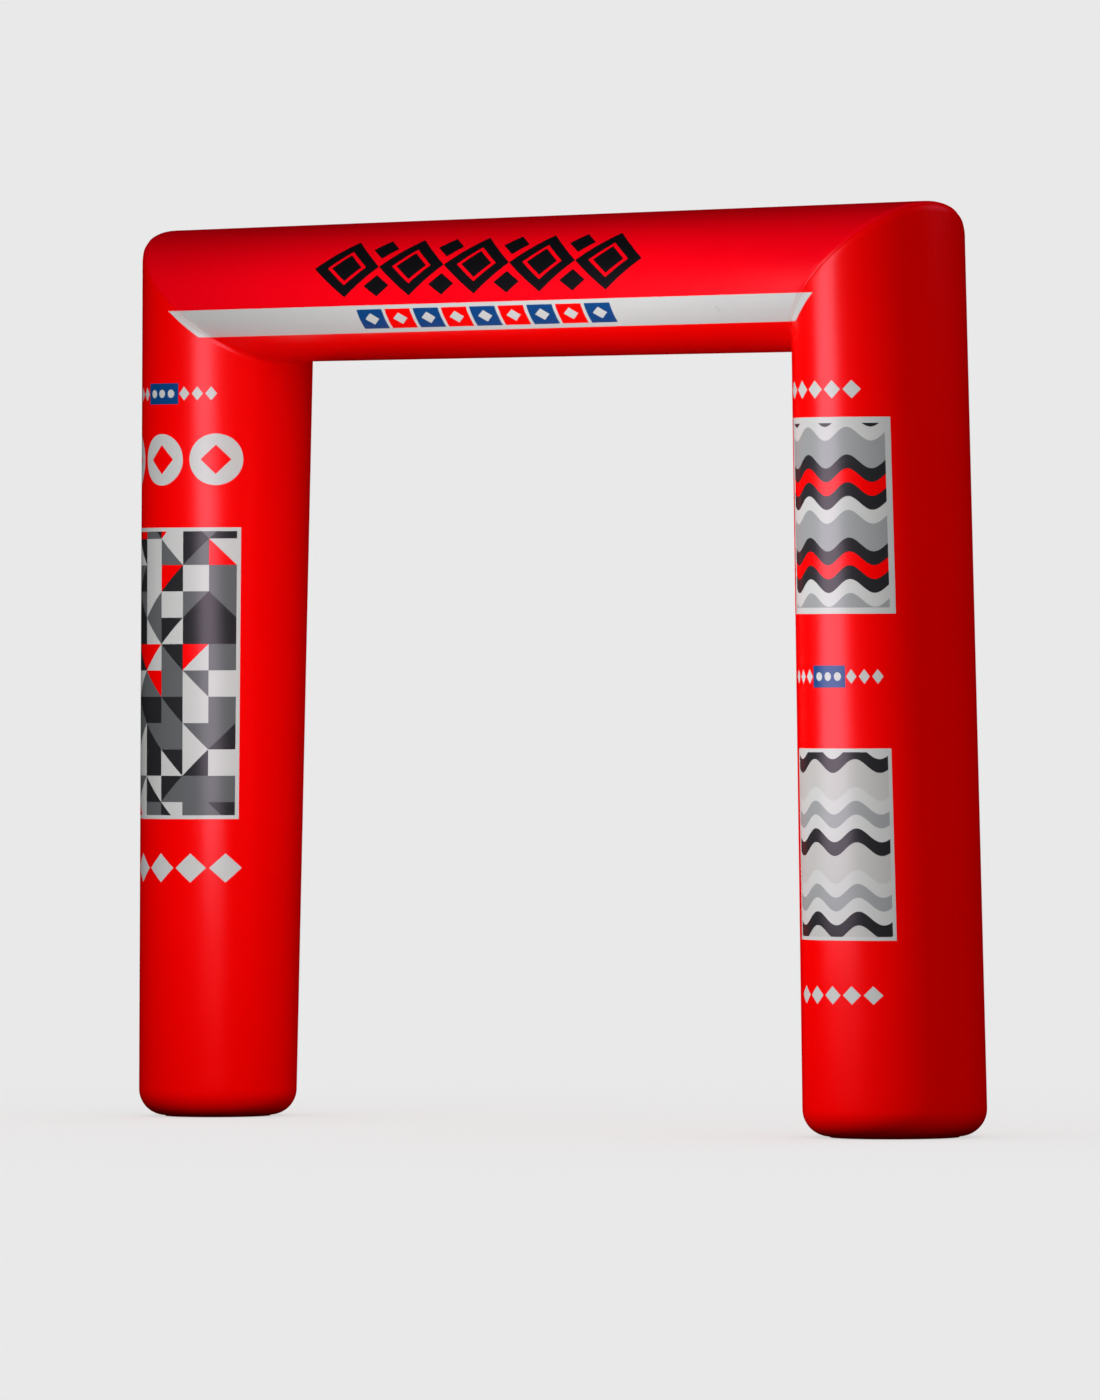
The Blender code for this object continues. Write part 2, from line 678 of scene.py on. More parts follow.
def spaced(line, lifts, pitch, closed):
    """Middles, directions and lifts at an even pitch along a line of points."""
    if closed:
        line, lifts = np.vstack([line, line[:1]]), np.vstack([lifts, lifts[:1]])
    steps = np.linalg.norm(np.diff(line, axis=0), axis=1)
    reach = np.concatenate([[0], np.cumsum(steps)])
    count = max(1, int(reach[-1] / pitch))
    marks = (np.arange(count) + 0.5) * reach[-1] / count

    def read(values, at):
        return np.stack([np.interp(at, reach, values[:, k]) for k in range(3)], axis=-1)

    ahead = read(line, np.minimum(marks + pitch / 4, reach[-1]))
    behind = read(line, np.maximum(marks - pitch / 4, 0))
    direction = ahead - behind
    direction /= np.linalg.norm(direction, axis=1, keepdims=True)
    return read(line, marks), direction, read(lifts, marks)


def stitched_mesh(name, rows, sewing):
    """One mesh of all the stitches along the rows, each of which is (points, normals, closed)."""
    shape, shape_faces = stitch_shape()
    stitch = shape * (sewing.stitch_pitch * STITCH_LENGTH, sewing.thread, sewing.thread)
    points, faces = [], []
    for line, lifts, closed in rows:
        middles, along, up = spaced(line, lifts, sewing.stitch_pitch, closed)
        aside = np.cross(up, along)
        aside /= np.linalg.norm(aside, axis=1, keepdims=True)
        up = np.cross(along, aside)
        for middle, *axes in zip(middles, along, aside, up):
            start = len(points) * len(stitch)
            points.append(middle + stitch @ np.array(axes))
            faces += [tuple(i + start for i in face) for face in shape_faces]
    mesh = bpy.data.meshes.new(name)
    mesh.from_pydata(np.concatenate(points).tolist(), [], faces)
    mesh.shade_smooth()
    return mesh


def row_at_reach(tube, from_seam, reach):
    """The closed row of points round a tube that lies at one distance from its seam."""
    around = len(tube.angles)
    line, lifts = np.empty((around, 3)), np.empty((around, 3))
    for i in range(around):
        order = np.argsort(from_seam[:, i])
        for k in range(3):
            line[i, k] = np.interp(reach, from_seam[order, i], tube.points[order, i, k])
            lifts[i, k] = np.interp(reach, from_seam[order, i], tube.normals[order, i, k])
    return line, lifts, True


def rows_along_back(tube, gap, start, end):
    """Two rows of points along the back of a tube, either side of its closing seam."""
    rows = []
    back = 3 * len(tube.angles) // 4
    for side in (-1, 1):
        beside = tube.points[:, back + side] - tube.points[:, back]
        beside /= np.linalg.norm(beside, axis=1, keepdims=True)
        line = tube.points[:, back] + beside * gap
        rows.append((line[start:end], tube.normals[start:end, back], False))
    return rows


# ---------------------------------------------------------------- node groups


class Net:
    """Adds nodes to a tree and joins them."""

    def __init__(self, tree):
        self.tree = tree

    def add(self, kind, inputs=None, **settings):
        node = self.tree.nodes.new(kind)
        for setting, value in settings.items():
            setattr(node, setting, value)
        for key, value in (inputs or {}).items():
            self.feed(node.inputs[key], value)
        return node

    def feed(self, socket, value):
        if isinstance(value, bpy.types.NodeSocket):
            self.tree.links.new(value, socket)
        else:
            socket.default_value = value

    def math(self, operation, *values):
        node = self.add("ShaderNodeMath", operation=operation)
        for socket, value in zip(node.inputs, values):
            self.feed(socket, value)
        return node.outputs[0]

    def all_of(self, *masks):
        mask = masks[0]
        for other in masks[1:]:
            mask = self.math("MULTIPLY", mask, other)
        return mask

    def vector(self, operation, inputs):
        return self.add("ShaderNodeVectorMath", inputs, operation=operation).outputs[0]

    def join(self, x, y):
        return self.add("ShaderNodeCombineXYZ", {"X": x, "Y": y}).outputs["Vector"]

    def split(self, vector):
        node = self.add("ShaderNodeSeparateXYZ", {"Vector": vector})
        return node.outputs["X"], node.outputs["Y"]

    def position(self):
        """X, Y and Z of the point on the arch."""
        place = self.add("ShaderNodeTexCoord").outputs["Object"]
        return self.add("ShaderNodeSeparateXYZ", {"Vector": place}).outputs

    def mix(self, factor, under, over, blend_type="MIX"):
        """One colour printed over another where the factor is 1."""
        node = self.add("ShaderNodeMix", data_type="RGBA", blend_type=blend_type)
        colours = [socket for socket in node.inputs if socket.type == "RGBA"]
        self.feed(node.inputs[0], factor)
        self.feed(colours[0], under)
        self.feed(colours[1], over)
        return next(socket for socket in node.outputs if socket.type == "RGBA")

    def toned(self, colour, factor):
        """A colour, multiplied by an uneven tone."""
        return self.mix(1.0, colour, factor, "MULTIPLY")

    def place(self, name, inputs):
        """Puts a shared group here, and gives its outputs by name."""
        return self.add("ShaderNodeGroup", inputs, node_tree=bpy.data.node_groups[name]).outputs


SOCKETS = {"number": "NodeSocketFloat", "vector": "NodeSocketVector", "colour": "NodeSocketColor"}


def new_group(name, inputs, outputs):
    """An empty shared group. inputs and outputs map names to kinds of socket."""
    tree = bpy.data.node_groups.new(name, "ShaderNodeTree")
    for key, kind in inputs.items():
        tree.interface.new_socket(name=key, in_out="INPUT", socket_type=SOCKETS[kind])
    for key, kind in outputs.items():
        tree.interface.new_socket(name=key, in_out="OUTPUT", socket_type=SOCKETS[kind])
    net = Net(tree)
    return net, net.add("NodeGroupInput").outputs, net.add("NodeGroupOutput").inputs


WANDER = 3.0  # how far the threads of the weave wander sideways, in thread pitches
WANDERINGS = 150.0  # how often they do, in a metre


def make_weave_group():
    """Height of a plain weave, 0 to 1: threads over and under each other, which don't run quite straight."""
    net, given, result = new_group(
        "Plain weave",
        {"Place": "vector", "Pitch": "number"},
        {"Height": "number"},
    )
    place, pitch = given["Place"], given["Pitch"]
    noise = net.add("ShaderNodeTexNoise", {"Vector": place, "Scale": WANDERINGS, "Detail": 0.0})
    swing = net.math("MULTIPLY", pitch, WANDER)
    shift = net.vector("SCALE", {0: noise.outputs["Color"], "Scale": swing})
    x, y = net.split(net.vector("ADD", {0: place, 1: shift}))
    across = net.math("SINE", net.math("DIVIDE", net.math("MULTIPLY", x, math.pi), pitch))
    along = net.math("SINE", net.math("DIVIDE", net.math("MULTIPLY", y, math.pi), pitch))
    over = net.math("GREATER_THAN", net.math("MULTIPLY", across, along), 0.0)
    warp = net.math("MULTIPLY", over, net.math("ABSOLUTE", across))
    weft = net.math("MULTIPLY", net.math("SUBTRACT", 1.0, over), net.math("ABSOLUTE", along))
    net.feed(result["Height"], net.math("ADD", warp, weft))


def make_tone_group():
    """A soft uneven tone about 1, for colour, and the same unevenness between 0 and 1."""
    net, given, result = new_group(
        "Uneven tone",
        {"Place": "vector", "Detail": "number", "Amount": "number"},
        {"Factor": "number", "Cloud": "number"},
    )
    cloud = net.add(
        "ShaderNodeTexNoise",
        {"Vector": given["Place"], "Scale": given["Detail"], "Detail": 3.0, "Roughness": 0.55},
    ).outputs[0]
    swing = net.math("MULTIPLY", net.math("SUBTRACT", cloud, 0.5), given["Amount"])
    net.feed(result["Factor"], net.math("ADD", 1.0, swing))
    net.feed(result["Cloud"], cloud)


def make_offset(net, given):
    """How far a place lies from a given middle, across and along."""
    x, y = net.split(given["Place"])
    middle_x, middle_y = net.split(given["Middle"])
    return net.math("SUBTRACT", x, middle_x), net.math("SUBTRACT", y, middle_y)


def new_motif(name, size, kind):
    """An empty group for one motif: its net, a place's offset from its middle, its size and its mask."""
    net, given, result = new_group(
        name,
        {"Place": "vector", "Middle": "vector", size: kind},
        {"Mask": "number"},
    )
    return net, make_offset(net, given), given[size], result["Mask"]


def make_bar_group():
    """A rectangle of print."""
    net, offset, half, mask = new_motif("Bar", "Half size", "vector")
    within = [
        net.math("LESS_THAN", net.math("ABSOLUTE", part), half_part)
        for part, half_part in zip(offset, net.split(half))
    ]
    net.feed(mask, net.all_of(*within))


def make_disc_group():
    """A round spot of print."""
    net, (x, y), radius, mask = new_motif("Disc", "Radius", "number")
    squares = net.math("ADD", net.math("MULTIPLY", x, x), net.math("MULTIPLY", y, y))
    net.feed(mask, net.math("LESS_THAN", net.math("SQRT", squares), radius))


def make_lozenge_group():
    """A diamond of print."""
    net, offset, half, mask = new_motif("Lozenge", "Half size", "vector")
    shares = [
        net.math("DIVIDE", net.math("ABSOLUTE", part), half_part)
        for part, half_part in zip(offset, net.split(half))
    ]
    net.feed(mask, net.math("LESS_THAN", net.math("ADD", *shares), 1.0))


def make_row_group():
    """Repeats a place along a row: where it lies from the nearest middle, and that middle's number."""
    net, given, result = new_group(
        "Row",
        {"Place": "vector", "Middle": "vector", "Pitch": "number", "Reach": "number"},
        {"Place": "vector", "Number": "number"},
    )
    pitch, last = given["Pitch"], given["Reach"]
    x, y = make_offset(net, given)
    nearest = net.math("ROUND", net.math("DIVIDE", x, pitch))
    first = net.math("MULTIPLY", last, -1.0)
    number = net.math("MINIMUM", net.math("MAXIMUM", nearest, first), last)
    local = net.math("SUBTRACT", x, net.math("MULTIPLY", number, pitch))
    net.feed(result["Place"], net.join(local, y))
    net.feed(result["Number"], number)


TONES = {f"Tone {number}": "colour" for number in range(1, 5)}
# The number of a tone, and the value above which it is used, in order.
PATCH_TONES = ((2, 0.34), (3, 0.60), (4, 0.91))
WAVE_TONES = ((2, 0.5), (3, 2.5), (1, 3.5), (4, 4.5))
WAVE_CYCLE = 6.0  # stripes until the tones come round again
WAVE_STRETCH = 0.6  # length of a wave, in stripes for each radian


def picked_tone(net, given, value, tones):
    """The first of the tones given, with others over it where the value is high enough."""
    colour = given["Tone 1"]
    for number, start in tones:
        colour = net.mix(net.math("GREATER_THAN", value, start), colour, given[f"Tone {number}"])
    return colour


def make_patchwork_group():
    """Half-square triangles in the four tones given, shuffled."""
    net, given, result = new_group(
        "Patchwork",
        {"Place": "vector", "Patch": "number", **TONES},
        {"Color": "colour"},
    )
    across, along = (net.math("DIVIDE", part, given["Patch"]) for part in net.split(given["Place"]))
    column, row = net.math("FLOOR", across), net.math("FLOOR", along)
    part_x, part_y = net.math("FRACT", across), net.math("FRACT", along)
    turned = net.math("FLOORED_MODULO", net.math("ADD", column, row), 2.0)
    mirrored = net.math("ABSOLUTE", net.math("SUBTRACT", part_x, turned))
    upper = net.math("GREATER_THAN", part_y, mirrored)
    triangle = net.join(net.math("ADD", net.math("MULTIPLY", column, 2.0), upper), row)
    shuffled = net.add("ShaderNodeTexWhiteNoise", {"Vector": triangle}, noise_dimensions="2D")
    net.feed(result["Color"], picked_tone(net, given, shuffled.outputs["Value"], PATCH_TONES))


def make_wave_group():
    """Wavy stripes in the four tones given."""
    net, given, result = new_group(
        "Waves",
        {"Place": "vector", "Stripe": "number", "Swing": "number", **TONES},
        {"Color": "colour"},
    )
    x, y = net.split(given["Place"])
    stretch = net.math("MULTIPLY", given["Stripe"], WAVE_STRETCH)
    sway = net.math("MULTIPLY", net.math("SINE", net.math("DIVIDE", x, stretch)), given["Swing"])
    height = net.math("ADD", net.math("DIVIDE", y, given["Stripe"]), sway)
    stripe = net.math("FLOORED_MODULO", net.math("FLOOR", height), WAVE_CYCLE)
    net.feed(result["Color"], picked_tone(net, given, stripe, WAVE_TONES))


def make_band_end_group():
    """The part of the band that lies on a leg: a strip that ends a little past the mitre seam."""
    net, given, result = new_group(
        "Band end",
        {"Side": "number", "Corner": "vector", "Slope": "number", "Band": "vector", "Wrap": "number"},
        {"Mask": "number"},
    )
    x, y, z = net.position()
    corner_x, corner_z = net.split(given["Corner"])
    low, high = net.split(given["Band"])
    outwards = net.math("MULTIPLY", net.math("SUBTRACT", x, corner_x), given["Side"])
    down = net.math("SUBTRACT", corner_z, z)
    past_seam = net.math("ADD", outwards, net.math("MULTIPLY", down, given["Slope"]))
    mask = net.all_of(
        net.math("LESS_THAN", past_seam, given["Wrap"]),
        net.math("GREATER_THAN", z, low),
        net.math("LESS_THAN", z, high),
        net.math("LESS_THAN", y, 0.0),
    )
    net.feed(result["Mask"], mask)


def make_groups():
    make_band_end_group()
    make_weave_group()
    make_tone_group()
    make_bar_group()
    make_disc_group()
    make_lozenge_group()
    make_row_group()
    make_patchwork_group()
    make_wave_group()


# ---------------------------------------------------------------- materials

CLOUDS = 2.2  # how often the fabric's tone changes, in a metre
CLOUD_TONE = 0.06  # how much it does, as a share of the colour
CLOUD_LOW, CLOUD_HIGH = 0.3, 0.7  # the clouds' usual range
CLOUD_ROUGHNESS = 0.02  # how much smoother or rougher the coating is at the ends of that range
WEAVE_HEIGHT = 0.00002
BASE_WEAVE_HEIGHT = 0.0002
BASE_ROUGHNESS = 0.6
BASE_TONE = 0.5  # the base panels' brightness, as a share of the red fabric's
THREAD_CLOUDS = 900.0
THREAD_TONE = 0.5
THREAD_ROUGHNESS = 0.6


def new_material(name):
    """A material, its net of nodes and its shader."""
    material = bpy.data.materials.new(name)
    material.use_nodes = True
    return material, Net(material.node_tree), material.node_tree.nodes["Principled BSDF"]


def cloth_material(name, fabric, print_on, weave_height=WEAVE_HEIGHT, roughness=None):
    """Coated fabric. print_on(net, place) gives its colour from the place on the cloth."""
    material, net, shader = new_material(name)
    place = net.add("ShaderNodeUVMap", uv_map=CLOTH_MAP).outputs["UV"]
    tone = net.place("Uneven tone", {"Place": place, "Detail": CLOUDS, "Amount": CLOUD_TONE})
    net.feed(shader.inputs["Base Color"], net.toned(print_on(net, place), tone["Factor"]))
    level = fabric.roughness if roughness is None else roughness
    clouded = net.add(
        "ShaderNodeMapRange",
        {
            "Value": tone["Cloud"],
            "From Min": CLOUD_LOW,
            "From Max": CLOUD_HIGH,
            "To Min": level - CLOUD_ROUGHNESS,
            "To Max": level + CLOUD_ROUGHNESS,
        },
    )
    net.feed(shader.inputs["Roughness"], clouded.outputs[0])
    weave = net.place("Plain weave", {"Place": place, "Pitch": fabric.thread_pitch})["Height"]
    bump = net.add("ShaderNodeBump", {"Height": weave, "Distance": weave_height, "Strength": 1.0})
    net.feed(shader.inputs["Normal"], bump.outputs[0])
    shader.inputs["Specular IOR Level"].default_value = fabric.gloss
    return material


def base_material(fabric):
    """Heavier, darker fabric, with a coarser surface."""
    red, green, blue, _ = fabric.red
    dark = (red * BASE_TONE, green * BASE_TONE, blue * BASE_TONE, 1.0)
    return cloth_material("base_fabric", fabric, lambda net, place: dark, BASE_WEAVE_HEIGHT, BASE_ROUGHNESS)


def thread_material(fabric):
    """Twisted sewing thread in the fabric's red."""
    material, net, shader = new_material("sewing_thread")
    place = net.add("ShaderNodeTexCoord").outputs["Object"]
    tone = net.place("Uneven tone", {"Place": place, "Detail": THREAD_CLOUDS, "Amount": THREAD_TONE})
    net.feed(shader.inputs["Base Color"], net.toned(fabric.red, tone["Factor"]))
    shader.inputs["Roughness"].default_value = THREAD_ROUGHNESS
    return material


# ---------------------------------------------------------------- print

# Places on a leg are in metres across from the middle of its front, and up from the ground. On the crossbar
# they are along X, and round it from the middle of its front or, for the band, up from the ground. A pair that
# sizes a motif is half its width and half its height.

# A row has a motif at its middle, and as many as its reach says on each side of that.
Row = namedtuple("Row", "middle pitch reach")
PrintedPanel = namedtuple("PrintedPanel", "middle half border")


def bar(place, half, ink, middle=(0, 0)):
    """A rectangle, as the name of its shared group, that group's inputs and the ink."""
    return "Bar", {"Place": place, "Middle": (*middle, 0), "Half size": (*half, 0)}, ink


def lozenge(place, half, ink, middle=(0, 0)):
    """A diamond, given like a bar."""
    return "Lozenge", {"Place": place, "Middle": (*middle, 0), "Half size": (*half, 0)}, ink


def disc(place, radius, ink):
    """A round spot, given like a bar."""
    return "Disc", {"Place": place, "Middle": (0, 0, 0), "Radius": radius}, ink


def printed(net, colour, *motifs):
    """Prints motifs over a colour, in order."""
    for group, inputs, ink in motifs:
        colour = net.mix(net.place(group, inputs)["Mask"], colour, ink)
    return colour


def in_row(net, place, row):
    """The place counted from the middle of the nearest motif in a row, and that motif's number."""
    middle = (*row.middle, 0)
    found = net.place("Row", {"Place": place, "Middle": middle, "Pitch": row.pitch, "Reach": row.reach})
    return found["Place"], found["Number"]


def framed(net, place, colour, white, panel, filling):
    """A panel of pattern inside a white border."""
    outer = [half + panel.border for half in panel.half]
    return printed(
        net,
        colour,
        bar(place, outer, white, panel.middle),
        bar(place, panel.half, filling, panel.middle),
    )


def patterned(net, place, pattern, sizes, tones):
    """A pattern in four tones."""
    inks = {f"Tone {number}": tone for number, tone in enumerate(tones, 1)}
    return net.place(pattern, {"Place": place, **sizes, **inks})["Color"]


def with_band_end(net, colour, side, shape, fabric):
    """The end of the crossbar's white band, over the top of a leg's print."""
    corner = (of_side(shape.corner_x, side), shape.bar_height, 0)
    band_end = {
        "Side": float(side),
        "Corner": corner,
        "Slope": of_side(shape.corner_r, side) / of_side(shape.corner_rise, side),
        "Band": (*fabric.band, 0),
        "Wrap": of_side(fabric.band_wrap, side),
    }
    return printed(net, colour, ("Band end", band_end, fabric.white))


BADGE_LOZENGES = (0.046, 4)  # pitch and reach of the row
BADGE_DOTS = (0.04, 1)
BADGE_LOZENGE = (0.019, 0.024)
BADGE_BAR = (0.07, 0.036)
BADGE_DOT = 0.014


def badge(net, place, colour, fabric, middle):
    """A short navy bar with a row of white dots, between white lozenges."""
    lozenges, _ = in_row(net, place, Row(middle, *BADGE_LOZENGES))
    dots, _ = in_row(net, place, Row(middle, *BADGE_DOTS))
    return printed(
        net,
        colour,
        lozenge(lozenges, BADGE_LOZENGE, fabric.white),
        bar(place, BADGE_BAR, fabric.navy, middle),
        disc(dots, BADGE_DOT, fabric.white),
    )


PATCHWORK = PrintedPanel((0.0, 1.52), (0.27, 0.485), 0.013)
PATCH = {"Patch": 0.09}  # side of a patch
LEFT_BADGE = (0.0, 2.475)
DISCS = Row((0.0, 2.25), 0.2, 1)
DISC_RADIUS = 0.088
DISC_LOZENGE = (0.05, 0.05)
LEFT_LOW_ROW = Row((0.0, 0.855), 0.12, 2)
LEFT_LOZENGE = (0.055, 0.05)


def left_leg_print(shape, fabric):
    """From the top: a badge, discs with lozenges, a framed patchwork and a row of lozenges."""

    def print_on(net, place):
        white, red = fabric.white, fabric.red
        tones = (fabric.mid_grey, fabric.dark_grey, white, red)
        patchwork = patterned(net, place, "Patchwork", PATCH, tones)
        colour = framed(net, place, red, white, PATCHWORK, patchwork)
        colour = with_band_end(net, colour, LEFT, shape, fabric)
        colour = badge(net, place, colour, fabric, LEFT_BADGE)
        discs, _ = in_row(net, place, DISCS)
        lozenges, _ = in_row(net, place, LEFT_LOW_ROW)
        return printed(
            net,
            colour,
            disc(discs, DISC_RADIUS, white),
            lozenge(discs, DISC_LOZENGE, red),
            lozenge(lozenges, LEFT_LOZENGE, white),
        )

    return print_on


UPPER_WAVES = PrintedPanel((0.05, 2.03), (0.21, 0.30), 0.02)
LOWER_WAVES = PrintedPanel((0.04, 0.96), (0.20, 0.30), 0.012)
WAVES = {"Stripe": 0.045, "Swing": 0.5}  # height of a stripe, and how far it swings, in stripes
RIGHT_BADGE = (0.03, 1.506)
RIGHT_ROWS = (Row((0.0, 2.44), 0.075, 2), Row((0.02, 0.47), 0.075, 2))
RIGHT_LOZENGE = (0.033, 0.03)


def right_leg_print(shape, fabric):
    """From the top: a row of lozenges, framed waves, a badge, framed waves and a row of lozenges."""

    def print_on(net, place):
        white, red = fabric.white, fabric.red
        dark, pale = fabric.dark_grey, fabric.pale_grey
        colour = red
        for panel, tones in (
            (UPPER_WAVES, (dark, pale, white, red)),
            (LOWER_WAVES, (white, fabric.off_white, dark, pale)),
        ):
            waves = patterned(net, place, "Waves", WAVES, tones)
            colour = framed(net, place, colour, white, panel, waves)
        colour = with_band_end(net, colour, RIGHT, shape, fabric)
        colour = badge(net, place, colour, fabric, RIGHT_BADGE)
        for row in RIGHT_ROWS:
            lozenges, _ = in_row(net, place, row)
            colour = printed(net, colour, lozenge(lozenges, RIGHT_LOZENGE, white))
        return colour

    return print_on


CHAIN = Row((-0.045, 0.085), 0.31, 2)
HALF_STEPS = Row(CHAIN.middle, CHAIN.pitch / 2, 2 * CHAIN.reach)  # the chain's lozenges and gaps, in turn
CHAIN_LOZENGE = (0.155, 0.118)
CHAIN_OPENING = (0.092, 0.07)
CHAIN_CORE = (0.071, 0.054)
GAP_LOZENGE = (0.06, 0.042)
GAP_RISE = 0.076  # from the chain's middle line to the small lozenges above and below it
BAND_REACH = 4  # longer than the crossbar
FLAG_X, FLAG_PITCH, FLAG_REACH = -0.02, 0.135, 4
FLAG = (0.06, 0.032)
FLAG_LOZENGE = (0.034, 0.019)


def crossbar_print(fabric):
    """A chain of dark lozenges above a white band with a row of short bars, all on the front."""

    def print_on(net, place):
        x, y, z = net.position()
        upright = net.join(x, z)
        low, high = fabric.band
        middle = (low + high) / 2
        white, black, red = fabric.white, fabric.black, fabric.bar_red_painted_sheen
        # Painted sheen: above the middle of the band the crossbar takes the red with a faint blue, in place of
        # the reflection on its top.
        colour = net.mix(net.math("GREATER_THAN", z, middle), fabric.red, red)
        chain, _ = in_row(net, place, CHAIN)
        steps, step = in_row(net, place, HALF_STEPS)
        # At the chain's own lozenges this ink is the crossbar's red with its painted sheen, which doesn't
        # show.
        in_gap = net.mix(net.math("FLOORED_MODULO", step, 2.0), red, black)
        flags, flag = in_row(net, upright, Row((FLAG_X, middle), FLAG_PITCH, FLAG_REACH))
        flag_colour = net.mix(net.math("FLOORED_MODULO", flag, 2.0), fabric.navy, fabric.red)
        front = printed(
            net,
            colour,
            lozenge(steps, GAP_LOZENGE, in_gap, (0, GAP_RISE)),
            lozenge(steps, GAP_LOZENGE, in_gap, (0, -GAP_RISE)),
            lozenge(chain, CHAIN_LOZENGE, black),
            lozenge(chain, CHAIN_OPENING, red),
            lozenge(chain, CHAIN_CORE, black),
            bar(upright, (BAND_REACH, (high - low) / 2), white, (0, middle)),
            bar(flags, FLAG, flag_colour),
            lozenge(flags, FLAG_LOZENGE, white),
        )
        return net.mix(net.math("LESS_THAN", y, 0.0), fabric.red, front)

    return print_on


# ---------------------------------------------------------------- operators


class ARCH_OT_legs(bpy.types.Operator):
    """Makes both legs in coated fabric, with their print"""

    bl_idname = "arch.legs"
    bl_label = "Legs"

    def execute(self, context):
        shape, fabric = context.scene.arch_shape, context.scene.arch_fabric
        for side, print_of in ((LEFT, left_leg_print), (RIGHT, right_leg_print)):
            name = NAMES[side]
            places = leg_places(side, of_side(shape.foot_r, side))
            mesh = tube_mesh(f"{name}_leg_cloth", leg_tube(context, side), places)
            material = cloth_material(f"{name}_leg_fabric", fabric, print_of(shape, fabric))
            made = piece(f"{name}_leg_cloth", mesh, material, "leg_fabric", f"{name}_leg")
        return {"FINISHED"}


class ARCH_OT_crossbar(bpy.types.Operator):
    """Makes the crossbar in coated fabric, with its white band and its print"""

    bl_idname = "arch.crossbar"
    bl_label = "Crossbar"

    def execute(self, context):
        fabric = context.scene.arch_fabric
        tube = crossbar_tube(context)
        middle = tube.points[len(tube.points) // 2]
        # The cloth is laid out by the way round from the first point to the last, a step short of the girth.
        way_round = np.linalg.norm(np.diff(middle, axis=0), axis=1).sum()
        mesh = tube_mesh("crossbar_cloth", tube, crossbar_places(way_round / (2 * math.pi)))
        material = cloth_material("crossbar_fabric", fabric, crossbar_print(fabric))
        made = piece("crossbar_cloth", mesh, material, "crossbar_fabric", "crossbar")
        return {"FINISHED"}


class ARCH_OT_bases(bpy.types.Operator):
    """Makes the round base panels of heavier fabric"""

    bl_idname = "arch.bases"
    bl_label = "Base panels"

    def execute(self, context):
        material = base_material(context.scene.arch_fabric)
        for side in (LEFT, RIGHT):
            name = NAMES[side]
            tube = Tube(base_sections(side), context.scene.arch_shape.around)
            mesh = tube_mesh(f"{name}_base_cloth", tube, base_places)
            made = piece(f"{name}_base_cloth", mesh, material, "base_fabric", f"{name}_base")
        return {"FINISHED"}


class ARCH_OT_stitching(bpy.types.Operator):
    """Sews the mitre seams, and the closing seam along the back of each tube"""

    bl_idname = "arch.stitching"
    bl_label = "Stitching"

    def execute(self, context):
        sewing = context.scene.arch_sewing
        thread = thread_material(context.scene.arch_fabric)

        def sew(name, rows, slot):
            piece(name, stitched_mesh(name, rows, sewing), thread, slot)

        crossbar = crossbar_tube(context)
        for side, from_seam in ((LEFT, crossbar.from_start), (RIGHT, crossbar.from_end)):
            leg = leg_tube(context, side)
            rows = [
                row_at_reach(leg, leg.from_end, sewing.row_gap),
                row_at_reach(crossbar, from_seam, sewing.row_gap),
            ]
            sew(f"{NAMES[side]}_corner_stitches", rows, "leg_fabric")
            rows = rows_along_back(leg, sewing.row_gap, FOOT_STEPS, -CORNER_STEPS)
            sew(f"{NAMES[side]}_leg_back_stitches", rows, "leg_fabric")
        rows = rows_along_back(crossbar, sewing.row_gap, CORNER_STEPS, -CORNER_STEPS)
        sew("crossbar_back_stitches", rows, "crossbar_fabric")
        return {"FINISHED"}


# ---------------------------------------------------------------- studio

Softbox = namedtuple("Softbox", "name place target size watts mirrored colour", defaults=((1, 1, 1),))

# The mirrored ones show in the fabric's coating and light nothing. The others light it and aren't mirrored.
SOFTBOXES = (
    Softbox("front_softbox", (0.48, -3.1, 1.95), (0.2, -0.35, 1.15), (0.75, 1.3), 118, False),
    Softbox("right_softbox", (7.8, -2.0, 4.0), (4.5, -1.95, 0.2), (2.6, 2.6), 122, False),
    Softbox("back_softbox", (0.4, 3.6, 1.2), (0.0, 0.0, 1.2), (2.0, 2.0), 47, False),
    Softbox("left_softbox", (-4.94, -1.17, 1.7), (-0.4, -0.2, 1.2), (1.6, 1.8), 21, False),
    Softbox("front_strip", (0.33, -3.65, 2.57), (1.05, 0.0, 5.57), (2.2, 4.67), 58, True, (1, 0.8, 1)),
    Softbox("back_strip", (4.28, 3.33, 5.1), (1.77, 0.0, 3.0), (3.0, 3.0), 6.4, True, (1, 0.6, 1)),
)
WHITE_LIGHT = (1, 1, 1, 1)
WHOLE_SKY = math.pi  # width of a sun that is an even dome of light
FLOOR_SUN_WIDTH = math.radians(140)
FLOOR_REACH = 3000.0
FLOOR_WHITE = 0.3
FLOOR_GLOW = 0.75  # share of the floor's brightness that no shadow takes away


def add_light(name, light, receivers, mirrored):
    """Puts a light in the scene, for its receivers alone."""
    light.cycles.use_multiple_importance_sampling = mirrored
    made = bpy.data.objects.new(name, light)
    bpy.context.scene.collection.objects.link(made)
    made.light_linking.receiver_collection = receivers
    made.visible_glossy = mirrored
    return made


def make_softbox(box, strength, receivers):
    """A rectangular light that faces its target."""
    light = bpy.data.lights.new(box.name, "AREA")
    light.shape = "RECTANGLE"
    light.size, light.size_y = box.size
    light.energy = box.watts * strength
    light.color = box.colour
    made = add_light(box.name, light, receivers, box.mirrored)
    made.location = box.place
    facing = Vector(box.target) - Vector(box.place)
    made.rotation_euler = facing.to_track_quat("-Z", "Y").to_euler()
    made.visible_diffuse = not box.mirrored
    made.visible_camera = False


